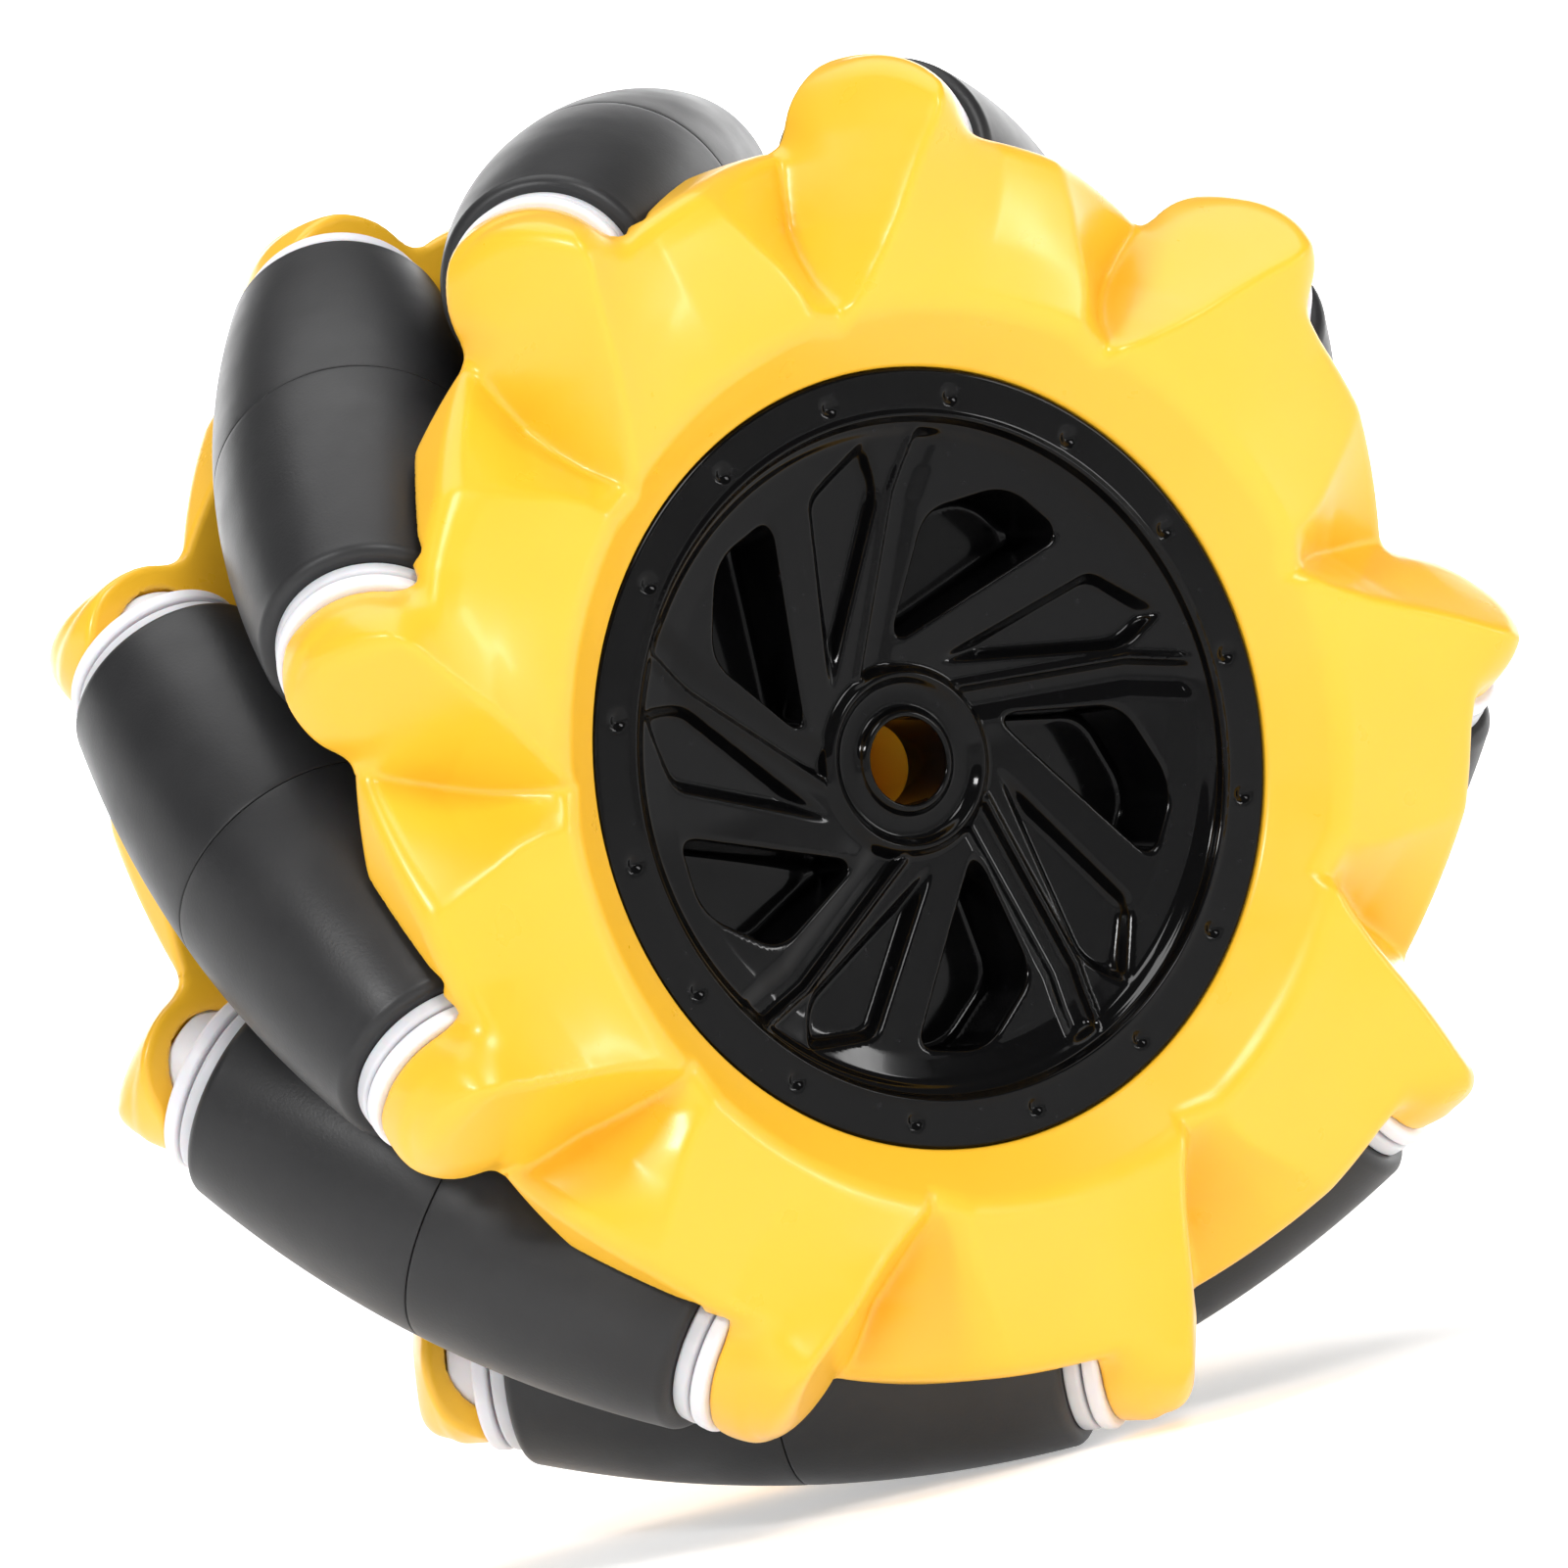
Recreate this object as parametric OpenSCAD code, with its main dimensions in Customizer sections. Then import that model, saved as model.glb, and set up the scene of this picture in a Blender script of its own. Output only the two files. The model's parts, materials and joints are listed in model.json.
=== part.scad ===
// Mecanum wheel: nine free rollers at 45 degrees, carried between two lobed plates.
// The axle runs along Y with the front face towards -Y. The origin is the wheel's centre.

/* [Wheel] */
// Diameter over the rollers
wheel_d = 97; // [96.5:0.1:97.5]
// Angle of the first roller, anticlockwise from +X seen from the front
phase = 16.5; // [0:0.5:40]

/* [Rollers] */
// Distance from the wheel's axis to each roller's axis, at mid-length
roller_orbit = 38.88; // [38.7:0.02:39]
// Length of one rubber sleeve
sleeve_len = 19.5; // [19.3:0.1:19.8]
// Bore of the rubber sleeve
sleeve_bore_d = 9; // [8:0.5:10]
// Diameter of the flanges at the core's ends
flange_d = 13; // [12:0.2:13.2]
// Diameter of the axle pins
pin_d = 3; // [2.5:0.1:3]

/* [Plates] */
// Radius of the plate between two lobes
plate_r = 42.3; // [41.5:0.1:42.5]
// Radius of a lobe's nose about its roller's axis
lobe_r = 5.8; // [5.6:0.1:6]
// Radius of a lobe's crown
crown_r = 5.4; // [5.3:0.1:5.6]
// Height of a ridge's outer end above the mid-plane
ridge_z = 24.4; // [23.5:0.1:24.8]
// Height of a valley's outer end above the mid-plane
valley_z = 15; // [14.8:0.1:16]
// Height of the flat underside above the mid-plane
under_z = 13.8; // [13:0.1:14]

/* [Hub] */
// Diameter of the hub opening
opening_d = 53.2; // [53:0.1:54]
// Height of the cap's rim above the mid-plane
rim_z = 19; // [18.5:0.1:19.5]
// Bore of the cap, through which the wheel screw is reached
cap_bore_d = 6; // [5:0.5:6.5]
// Width across flats of the drive socket
hex_af = 12; // [11.8:0.1:12.2]
// Depth of the drive socket
hex_depth = 8; // [6:0.5:9]
// Clearance bore for the wheel screw
screw_bore_d = 3.4; // [3.2:0.1:3.6]

/* [Hidden] */
ROLLERS = 9;
PITCH = 360 / ROLLERS;
LEAN = 45;
R = wheel_d / 2;
eps = 0.01;
fit = 0.05;
$fn = 64;

// Places along a roller's axis, measured outwards from mid-length
seam_half = 0.06;
flange_in = sleeve_len + 0.02;
flange_out = flange_in + 1.15;
bush_in = flange_out + 0.2;
face_s = 22;
bush_out = 24.2;
pocket_s = 24.35;
pin_half = 25.7;
hole_s = 25.85;
nose_in = 18;
nose_out = 24.6;
bush_boss_r = 4.4;
roller_gap = 0.7;
disc_gap = 0.6;

// A lobe's crown, placed from its roller's radius
crown_x = 39.2;
crown_y = 16.7;
crown_z = 18;
crown_draft = 0.08;

// Colours
yellow = [0.98, 0.79, 0.20];
black = [0.06, 0.06, 0.07];
rubber = [0.20, 0.20, 0.21];
nylon = [0.92, 0.92, 0.93];
steel = [0.72, 0.73, 0.75];

// The two plates
tall = 30;
opening_r = opening_d / 2;
bevel_slope = 0.9;
bevel_w = 10;
bevel_z = 22.6;
drum_r = 28.4;
drum_in_r = 26;
seat_r = 25;
seat_z = rim_z - 2.4;
web_z = 10.4;
rear_web_z = 17.4;
web_t = 2.6;
block_in_r = 24;
hub_r = 10.5;
screw_seat_z = 2.5;
screw_head_r = 3.2;
post_orbit = 18;
post_r = 3.4;
PLATE_SCREWS = 6;
plate_screw_r = 1.5;
plate_screw_reach = 6;
head_r = 2.75;
head_h = 1.8;
key_r = 1.15;
key_floor = 0.8;
screw_clearance = 0.15;

// The hub cap
dish_r = 23.2;
dimple_orbit = 24.75;
dimple_r = 0.6;
dimple_depth = 0.25;
dimple_turn = 0.45;
DIMPLES = 16;
ARMS = 5;
boss_z = rim_z - 3.4;
dish_z = boss_z - 0.4;
collar_r = 4.6;
// Corners of a window, each as [radius, angle]
window_corners = [[7.5, 70], [19.8, 22], [20.4, 38], [17.1, 56]];
cap_back_z = web_z + 0.2;
window_floor_z = cap_back_z + 0.8;

pin_r = pin_d / 2;
core_r = sleeve_bore_d / 2 - 0.02;
flange_r = flange_d / 2;

SIDES = ["front", "rear"];

// ---- Frames ----

// The wheel's own frame: Z towards the front along the axle, X and Y in the wheel's plane.
module front_side() rotate([90, 0, 0]) rotate([0, 0, phase]) children();

// The same frame turned over a roller's radius, which puts the rear side where the front was.
module rear_side() front_side() rotate([180, 0, 0]) children();

module plate_side(side) {
    if (side == "front") front_side() children();
    else rear_side() children();
}

// The axis of roller i within either side's frame, with Z outwards along it.
module on_roller(i) {
    rotate([0, 0, i * PITCH])
        translate([roller_orbit, 0, 0])
            rotate([-LEAN, 0, 0]) children();
}

// A roller keeps its number when it is counted from the rear side.
function turn(side, i) = side == "front" ? i - 1 : 1 - i;

// ---- The roller's barrel ----

// A point of the wheel's tread at angle t from the roller's middle, as [radius, place] on the roller.
function tread(t) = [
    sqrt(pow(R * sin(t) - roller_orbit * tan(t), 2) / 2 + pow(R * cos(t) - roller_orbit, 2)),
    (R * sin(t) + roller_orbit * tan(t)) / sqrt(2)
];
tread_end = 17.2;
TREAD_STEPS = 10;
tread_pts = [for (k = [0:TREAD_STEPS]) tread(tread_end * k / TREAD_STEPS)];
end_r = tread_pts[TREAD_STEPS][0];

// Half of the space that a roller needs, a little larger than the roller itself.
module roller_room() {
    room = concat(
        [[0, -1], [tread_pts[0][0] + roller_gap, -1]],
        [for (p = tread_pts) [p[0] + roller_gap, p[1]]],
        [
            [end_r + roller_gap - 0.4, sleeve_len + roller_gap],
            [flange_r + disc_gap, sleeve_len + roller_gap],
            [flange_r + disc_gap, face_s],
            [0, face_s]
        ]
    );
    rotate_extrude() polygon(room);
}

// ---- The plates ----

// Four lines run outwards across each sector: valley, shoulder, brow and ridge.
// Each row gives its radius, then an angle and a height for each of the four.
function row(r, valley, shoulder, brow, ridge) = [r, [valley, shoulder, brow, ridge]];
ROWS = [
    row(block_in_r, [-5, bevel_z], [3, bevel_z], [14, bevel_z], [27, bevel_z]),
    row(31.4, [-5.2, bevel_z], [0.2, bevel_z], [14, bevel_z], [33.6, bevel_z + 0.2]),
    row(36, [-6.2, 16.6], [1.8, 21.9], [13.5, 22.3], [27.4, 23.6]),
    row(42.8, [-8.4, valley_z], [6.2, 20.4], [13, 21.4], [22.4, ridge_z]),
    row(49.5, [-14.2, valley_z - 0.4], [9, 18.6], [14, 19.6], [18.8, ridge_z - 0.2])
];
LINES = 4;
RING = LINES * ROLLERS;

function face_point(k, j) =
    let (r = ROWS[k][0], spot = ROWS[k][1][j % LINES], a = spot[0] + floor(j / LINES) * PITCH)
        [r * cos(a), r * sin(a), spot[1]];
function under_point(k, j) = [face_point(k, j)[0], face_point(k, j)[1], under_z];

// Everything between the faceted face and the flat underside, out past the lobes.
module faceted_block() {
    last = len(ROWS) - 1;
    pts = concat(
        [for (k = [0:last], j = [0:RING - 1]) face_point(k, j)],
        [for (j = [0:RING - 1]) under_point(last, j)],
        [for (j = [0:RING - 1]) under_point(0, j)]
    );
    rings = len(ROWS) + 2;
    function at(k, j) = (k % rings) * RING + j % RING;
    faces = [
        for (k = [0:rings - 1], j = [0:RING - 1])
            each [
                [at(k, j), at(k, j + 1), at(k + 1, j)],
                [at(k, j + 1), at(k + 1, j + 1), at(k + 1, j)]
            ]
    ];
    polyhedron(pts, faces, convexity = 8);
}

// One lobe: a nose about its roller's axis, joined to a crown that stands along the axle.
module lobe(i) {
    on_roller(i) translate([0, 0, nose_in]) cylinder(h = nose_out - nose_in, r = lobe_r);
    rotate([0, 0, i * PITCH]) translate([crown_x, crown_y, 0])
        rotate_extrude()
            polygon([
                [0, under_z - 1], [crown_r, under_z - 1], [crown_r, crown_z],
                [crown_r - crown_draft * (tall - crown_z), tall], [0, tall]
            ]);
}

module lobed_block() {
    intersection() {
        faceted_block();
        union() {
            cylinder(h = tall, r = plate_r, $fn = 180);
            for (i = [0:ROLLERS - 1]) lobe(i);
        }
    }
}

module roller_seats() {
    for (i = [0:ROLLERS - 1])
        on_roller(i) {
            roller_room();
            cylinder(h = pocket_s, r = bush_boss_r + fit);
            cylinder(h = hole_s, r = pin_r + fit / 2);
        }
}

module posts() {
    for (k = [0:PLATE_SCREWS - 1])
        rotate([0, 0, (k + 0.5) * 360 / PLATE_SCREWS])
            translate([post_orbit, 0, 0]) children();
}

// The wall, web, centre boss and screw posts that a plate has inside its lobed ring.
module drum(web_top) {
    difference() {
        cylinder(h = under_z + 1, r = drum_r, $fn = 120);
        translate([0, 0, -1]) cylinder(h = tall, r = drum_in_r, $fn = 120);
    }
    translate([0, 0, web_top - web_t]) cylinder(h = web_t, r = drum_r, $fn = 120);
    posts() cylinder(h = web_top - web_t + 1, r = post_r);
    cylinder(h = web_top - web_t + 1, r = hub_r);
}

// The bevelled hub opening, cut down to the height given.
module opening(floor_z) {
    translate([0, 0, floor_z]) cylinder(h = tall, r = opening_r, $fn = 120);
    rotate_extrude($fn = 120)
        polygon([
            [0, rim_z], [opening_r, rim_z],
            [opening_r + bevel_w, rim_z + bevel_w * bevel_slope], [0, tall]
        ]);
}

module front_plate() color(yellow) front_side()
    difference() {
        union() {
            lobed_block();
            drum(web_z);
            translate([0, 0, web_z]) difference() {
                cylinder(h = seat_z - web_z, r = opening_r + 1, $fn = 120);
                translate([0, 0, -1]) cylinder(h = tall, r = seat_r, $fn = 120);
            }
        }
        opening(seat_z);
        translate([0, 0, web_z]) cylinder(h = tall, r = seat_r, $fn = 120);
        roller_seats();
        translate([0, 0, -1]) cylinder(h = tall, d = screw_bore_d);
        translate([0, 0, screw_seat_z]) cylinder(h = tall, r = screw_head_r);
        posts() translate([0, 0, -1]) cylinder(h = plate_screw_reach + 2, r = plate_screw_r + fit / 2);
    }

module rear_plate() color(yellow) rear_side()
    difference() {
        union() {
            difference() {
                union() {
                    lobed_block();
                    drum(rear_web_z);
                }
                opening(rear_web_z);
            }
            cylinder(h = rim_z, r = hub_r);
        }
        roller_seats();
        translate([0, 0, -1]) cylinder(h = tall, d = screw_bore_d);
        translate([0, 0, rim_z - hex_depth]) cylinder(h = hex_depth + 1, d = hex_af / cos(30), $fn = 6);
        posts() translate([0, 0, -1]) cylinder(h = tall, r = plate_screw_r + screw_clearance);
    }

// ---- The hub cap ----

// One deep window of the swirl, as a wedge between two arms.
module window() {
    translate([0, 0, window_floor_z])
        linear_extrude(tall)
            polygon([for (p = window_corners) [p[0] * cos(p[1]), p[0] * sin(p[1])]]);
}

module hub_cap() color(black) front_side()
    difference() {
        rotate_extrude($fn = 120)
            polygon([
                [cap_bore_d / 2, boss_z], [collar_r - 0.4, boss_z], [collar_r, dish_z], [6.5, dish_z],
                [dish_r - 4, rim_z - 2], [dish_r - 0.5, rim_z - 0.9], [dish_r, rim_z],
                [opening_r - fit, rim_z], [opening_r - fit, seat_z], [seat_r - fit, seat_z],
                [seat_r - fit, cap_back_z], [cap_bore_d / 2, cap_back_z]
            ]);
        for (k = [0:ARMS - 1]) rotate([0, 0, k * 360 / ARMS]) window();
        for (k = [0:DIMPLES - 1])
            rotate([0, 0, (k + dimple_turn) * 360 / DIMPLES])
                translate([dimple_orbit, 0, rim_z - dimple_depth]) cylinder(h = 1, r = dimple_r);
    }

// ---- Fasteners, pins and bushes ----

module plate_screws() color(steel) rear_side()
    posts() {
        difference() {
            translate([0, 0, rear_web_z]) cylinder(h = head_h, r = head_r);
            translate([0, 0, rear_web_z + key_floor]) cylinder(h = head_h, r = key_r, $fn = 6);
        }
        translate([0, 0, -plate_screw_reach])
            cylinder(h = rear_web_z + plate_screw_reach + eps, r = plate_screw_r);
    }

module roller_axle(i) color(steel) front_side()
    on_roller(i - 1) translate([0, 0, -pin_half]) cylinder(h = 2 * pin_half, r = pin_r);

module bush(side, i) color(nylon) plate_side(side)
    on_roller(turn(side, i))
        rotate_extrude()
            polygon([
                [pin_r + fit / 4, bush_in], [flange_r - 0.15, bush_in], [flange_r, bush_in + 0.15],
                [flange_r, face_s - 0.35], [flange_r - 0.3, face_s], [bush_boss_r, face_s],
                [bush_boss_r, bush_out - 0.3], [bush_boss_r - 0.3, bush_out],
                [pin_r + fit / 4, bush_out]
            ]);

// ---- The rollers ----

module roller_core(i) color(nylon) front_side()
    on_roller(i - 1) {
        difference() {
            union() {
                cylinder(h = 2 * flange_in, r = core_r, center = true);
                for (m = [0, 1])
                    mirror([0, 0, m]) translate([0, 0, flange_in])
                        cylinder(h = flange_out - flange_in, r = flange_r);
            }
            cylinder(h = 2 * tall, r = pin_r + fit, center = true);
        }
    }

module sleeve(side, i) color(rubber) plate_side(side)
    on_roller(turn(side, i))
        rotate_extrude()
            polygon(concat(
                [[sleeve_bore_d / 2, seam_half], [tread_pts[0][0] - 0.12, seam_half]],
                [[tread_pts[0][0], seam_half + 0.12]],
                [for (k = [1:TREAD_STEPS]) tread_pts[k]],
                [
                    [end_r - 0.25, sleeve_len - 0.5],
                    [end_r - 0.75, sleeve_len - 0.1],
                    [end_r - 1, sleeve_len],
                    [sleeve_bore_d / 2, sleeve_len]
                ]
            ));

front_plate();
rear_plate();
hub_cap();
plate_screws();
for (i = [1:ROLLERS]) {
    roller_axle(i);
    roller_core(i);
    for (side = SIDES) {
        bush(side, i);
        sleeve(side, i);
    }
}
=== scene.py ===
"""Looks of the mecanum wheel: two lobed yellow plates, a black hub cap and nine rubber rollers.

Shapes are worked out in millimetres in the wheel's own frame, with Z towards the front along the
axle, and turned and scaled into the model's frame when each piece is made.
"""
import json
import math

import bpy
import numpy as np
from mathutils import Matrix, Vector


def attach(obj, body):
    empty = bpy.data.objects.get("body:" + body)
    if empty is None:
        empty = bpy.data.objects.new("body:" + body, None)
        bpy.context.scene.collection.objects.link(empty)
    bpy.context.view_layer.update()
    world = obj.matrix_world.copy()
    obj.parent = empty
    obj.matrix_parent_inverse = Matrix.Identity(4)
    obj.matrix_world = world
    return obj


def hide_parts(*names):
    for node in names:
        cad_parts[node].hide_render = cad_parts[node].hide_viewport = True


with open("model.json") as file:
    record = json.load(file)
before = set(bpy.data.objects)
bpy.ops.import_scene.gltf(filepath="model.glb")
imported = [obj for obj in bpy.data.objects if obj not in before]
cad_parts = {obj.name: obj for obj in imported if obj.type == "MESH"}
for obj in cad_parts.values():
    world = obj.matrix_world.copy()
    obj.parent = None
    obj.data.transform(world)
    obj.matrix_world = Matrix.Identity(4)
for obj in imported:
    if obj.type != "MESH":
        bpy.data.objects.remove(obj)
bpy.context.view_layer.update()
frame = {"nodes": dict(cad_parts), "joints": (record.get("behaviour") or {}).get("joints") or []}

MM = 0.001
ROLLERS = 9
PITCH = 360 / ROLLERS
SIDES = ("front", "rear")
COARSE = 1

# The first roller's angle is where its joint says, seen from the front.
FIRST = next(j for j in frame["joints"] if j["name"] == "roller_spin_1")
PHASE = math.atan2(FIRST["pos_m"][2], FIRST["pos_m"][0])
ORBIT = math.hypot(FIRST["pos_m"][2], FIRST["pos_m"][0]) / MM
TREAD_R = 48.5
LEAN = math.radians(45)

FRONT = Matrix.Rotation(math.radians(90), 4, "X") @ Matrix.Rotation(PHASE, 4, "Z")
TURNED = {"front": FRONT, "rear": FRONT @ Matrix.Rotation(math.pi, 4, "X")}


def on_roller(side, number):
    """The frame of one roller's half, with Z outwards along the roller's axis."""
    turn = number - 1 if side == "front" else 1 - number
    return (
        TURNED[side]
        @ Matrix.Rotation(math.radians(turn * PITCH), 4, "Z")
        @ Matrix.Translation((ORBIT * MM, 0, 0))
        @ Matrix.Rotation(-LEAN, 4, "X")
    )


# ---- Meshes ----


def new_mesh(name, points, faces):
    """A mesh from points in millimetres."""
    mesh = bpy.data.meshes.new(name)
    mesh.from_pydata((np.asarray(points, float) * MM).tolist(), [], faces)
    mesh.update()
    return mesh


def smooth_below(mesh, degrees):
    """Smooth shading, with edges sharper than the angle left crisp."""
    mesh.polygons.foreach_set("use_smooth", [True] * len(mesh.polygons))
    mesh.set_sharp_from_angle(angle=math.radians(degrees))


def rounded(corners, steps=6):
    """A closed outline from (x, y, radius) corners, each one rounded with an arc."""
    points = []
    count = len(corners)
    for k, (x, y, radius) in enumerate(corners):
        here = np.array([x, y], float)
        if not radius:
            points.append(here)
            continue
        before = np.array(corners[k - 1][:2], float) - here
        after = np.array(corners[(k + 1) % count][:2], float) - here
        before /= np.linalg.norm(before)
        after /= np.linalg.norm(after)
        half = math.acos(float(np.clip(before @ after, -1, 1))) / 2
        reach = radius / math.tan(half)
        middle = here + (before + after) / np.linalg.norm(before + after) * radius / math.sin(half)
        start, end = here + before * reach - middle, here + after * reach - middle
        sweep = math.pi - 2 * half
        for step in range(steps + 1):
            share = step / steps
            mixed = start * math.sin((1 - share) * sweep) + end * math.sin(share * sweep)
            points.append(middle + mixed / math.sin(sweep))
    return points


def revolve(name, outline, segments=96, crisp=32):
    """A closed ring: the outline of (radius, height) points turned about Z."""
    turn = np.arange(segments) * 2 * math.pi / segments
    ring = np.asarray(outline, float)
    points = np.stack([
        np.outer(np.cos(turn), ring[:, 0]),
        np.outer(np.sin(turn), ring[:, 0]),
        np.tile(ring[:, 1], (segments, 1)),
    ], axis=-1).reshape(-1, 3)
    count = len(ring)
    faces = []
    for i in range(segments):
        here, there = i * count, (i + 1) % segments * count
        for j in range(count):
            k = (j + 1) % count
            faces.append((here + j, there + j, there + k, here + k))
    mesh = new_mesh(name, points, faces)
    if volume(mesh) < 0:
        mesh.flip_normals()
    smooth_below(mesh, crisp)
    return mesh


def prism(name, radius, low, high, sides=48, at=(0, 0)):
    """An upright closed prism, used to add or cut posts, bores and sockets."""
    turn = np.arange(sides) * 2 * math.pi / sides
    ring = np.stack([at[0] + radius * np.cos(turn), at[1] + radius * np.sin(turn)], axis=1)
    points = [(x, y, z) for z in (low, high) for x, y in ring]
    faces = [tuple(range(sides))[::-1], tuple(range(sides, 2 * sides))]
    faces += [(i, (i + 1) % sides, (i + 1) % sides + sides, i + sides) for i in range(sides)]
    return new_mesh(name, points, faces)


def volume(mesh):
    """The mesh's signed volume, negative if it is inside out."""
    mesh.calc_loop_triangles()
    co = np.zeros(len(mesh.vertices) * 3)
    mesh.vertices.foreach_get("co", co)
    tri = np.zeros(len(mesh.loop_triangles) * 3, int)
    mesh.loop_triangles.foreach_get("vertices", tri)
    a, b, c = co.reshape(-1, 3)[tri.reshape(-1, 3)].transpose(1, 0, 2)
    return float((a * np.cross(b, c)).sum() / 6)


def combine(mesh, operation, others):
    """The mesh with each other closed mesh added to it or cut from it."""
    target = bpy.data.objects.new("target", mesh)
    bpy.context.scene.collection.objects.link(target)
    tools = []
    for other in others:
        tool = bpy.data.objects.new("tool", other)
        bpy.context.scene.collection.objects.link(tool)
        step = target.modifiers.new("step", "BOOLEAN")
        step.operation = operation
        step.solver = "MANIFOLD"
        step.object = tool
        tools.append(tool)
    graph = bpy.context.evaluated_depsgraph_get()
    result = bpy.data.meshes.new_from_object(target.evaluated_get(graph))
    result.name = mesh.name
    for thing in [target, *tools]:
        bpy.data.objects.remove(thing)
    return result


# ---- Fields: distances in millimetres, negative inside the material ----


def smooth_max(a, b, soft):
    """The larger of two distances, blended where they differ by less than soft."""
    share = np.clip(0.5 + 0.5 * (a - b) / soft, 0, 1)
    return b + (a - b) * share + soft * share * (1 - share)


def smooth_min(a, b, soft):
    """The smaller of two distances, blended where they differ by less than soft."""
    return -smooth_max(-a, -b, soft)


class Relief:
    """A height over a round face, sampled on a square grid and softened."""

    def __init__(self, height, reach, step, soft):
        self.reach, self.step = reach, step
        axis = np.arange(-reach, reach + step, step)
        x, y = np.meshgrid(axis, axis, indexing="ij")
        self.table = self.soften(height(x, y), soft / step)
        slope = np.gradient(self.table, step)
        self.steep = 1 / np.sqrt(1 + slope[0] ** 2 + slope[1] ** 2)

    @staticmethod
    def soften(table, sigma):
        reach = math.ceil(3 * sigma)
        offsets = np.arange(-reach, reach + 1)
        weights = np.exp(-0.5 * (offsets / sigma) ** 2)
        weights /= weights.sum()
        for axis in (0, 1):
            table = sum(w * np.roll(table, o, axis=axis) for o, w in zip(offsets, weights))
        return table

    def above(self, x, y, z):
        """How far a point is above the surface, roughly as a true distance."""
        u = np.clip((x + self.reach) / self.step, 0, len(self.table) - 2.001)
        v = np.clip((y + self.reach) / self.step, 0, len(self.table) - 2.001)
        i, j = u.astype(int), v.astype(int)
        u, v = u - i, v - j
        read = [
            t[i, j] * (1 - u) * (1 - v) + t[i + 1, j] * u * (1 - v)
            + t[i, j + 1] * (1 - u) * v + t[i + 1, j + 1] * u * v
            for t in (self.table, self.steep)
        ]
        return (z - read[0]) * read[1]


def gradient(field, points, reach=0.04):
    """The field's slope at each point, by central differences."""
    slopes = []
    for axis in range(3):
        shift = np.zeros(3)
        shift[axis] = reach
        ahead, behind = (points + shift).T, (points - shift).T
        slopes.append((field(*ahead) - field(*behind)) / (2 * reach))
    return np.stack(slopes, axis=1)


CORNERS = [(i, j, k) for i in (0, 1) for j in (0, 1) for k in (0, 1)]
SETTLING_STEPS = 4
LEAST_SLOPE = 0.05


def mould(name, field, columns, radii, heights):
    """The closed surface where the field is zero, found cell by cell round the axle."""
    turn = np.arange(columns) * 2 * math.pi / columns
    a, r, z = np.meshgrid(turn, radii, heights, indexing="ij")
    values = field(r * np.cos(a), r * np.sin(a), z)
    inside = values < 0

    def corner(table, place):
        table = np.roll(table, -place[0], axis=0)
        _, wide, tall = table.shape
        return table[:, place[1]:wide - 1 + place[1], place[2]:tall - 1 + place[2]]

    filled = sum(corner(inside, place).astype(int) for place in CORNERS)
    live = (filled > 0) & (filled < 8)
    cells = np.argwhere(live)
    ids = np.full(live.shape, -1)
    ids[live] = np.arange(len(cells))
    at_corner = np.stack([corner(values, place)[live] for place in CORNERS], axis=1)
    total, hits = np.zeros((len(cells), 3)), np.zeros((len(cells), 1))
    for m, near in enumerate(CORNERS):
        for n, far in enumerate(CORNERS):
            if n <= m or sum(near[q] != far[q] for q in range(3)) != 1:
                continue
            p, q = at_corner[:, m], at_corner[:, n]
            crossed = (p < 0) != (q < 0)
            share = np.where(crossed, p / np.where(crossed, p - q, 1), 0)[:, None]
            spot = np.array(near) + share * (np.array(far) - np.array(near))
            total += spot * crossed[:, None]
            hits += crossed[:, None]
    place = cells + total / hits
    turned = place[:, 0] * 2 * math.pi / columns
    radius = np.interp(place[:, 1], np.arange(len(radii)), radii)
    height = np.interp(place[:, 2], np.arange(len(heights)), heights)
    points = np.stack([radius * np.cos(turned), radius * np.sin(turned), height], axis=1)
    cell = radii[1] - radii[0]
    for _ in range(SETTLING_STEPS):
        slope = gradient(field, points)
        length = np.maximum((slope ** 2).sum(axis=1), LEAST_SLOPE)
        step = np.clip(field(*points.T) / length, -cell / 2, cell / 2)
        points -= slope * step[:, None]

    quads = []
    for axis in range(3):
        other = [q for q in range(3) if q != axis]
        ahead = np.roll(inside, -1, axis=axis)
        changed = inside != ahead
        for q in (1, 2):
            edge = [slice(None)] * 3
            edge[q] = slice(-1, None)
            changed[tuple(edge)] = False
            if q in other:
                edge[q] = slice(0, 1)
                changed[tuple(edge)] = False
        spots = np.argwhere(changed)
        ring = []
        for back in ((1, 1), (0, 1), (0, 0), (1, 0)):
            cell_of = spots.copy()
            cell_of[:, other[0]] -= back[0]
            cell_of[:, other[1]] -= back[1]
            cell_of[:, 0] %= columns
            ring.append(ids[cell_of[:, 0], cell_of[:, 1], cell_of[:, 2]])
        ring = np.stack(ring, axis=1)
        flip = inside[changed] if axis == 1 else ~inside[changed]
        ring[flip] = ring[flip][:, ::-1]
        quads.append(ring)
    mesh = new_mesh(name, points, np.concatenate(quads).tolist())
    if volume(mesh) < 0:
        mesh.flip_normals()
    mesh.polygons.foreach_set("use_smooth", [True] * len(mesh.polygons))
    return mesh


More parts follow.
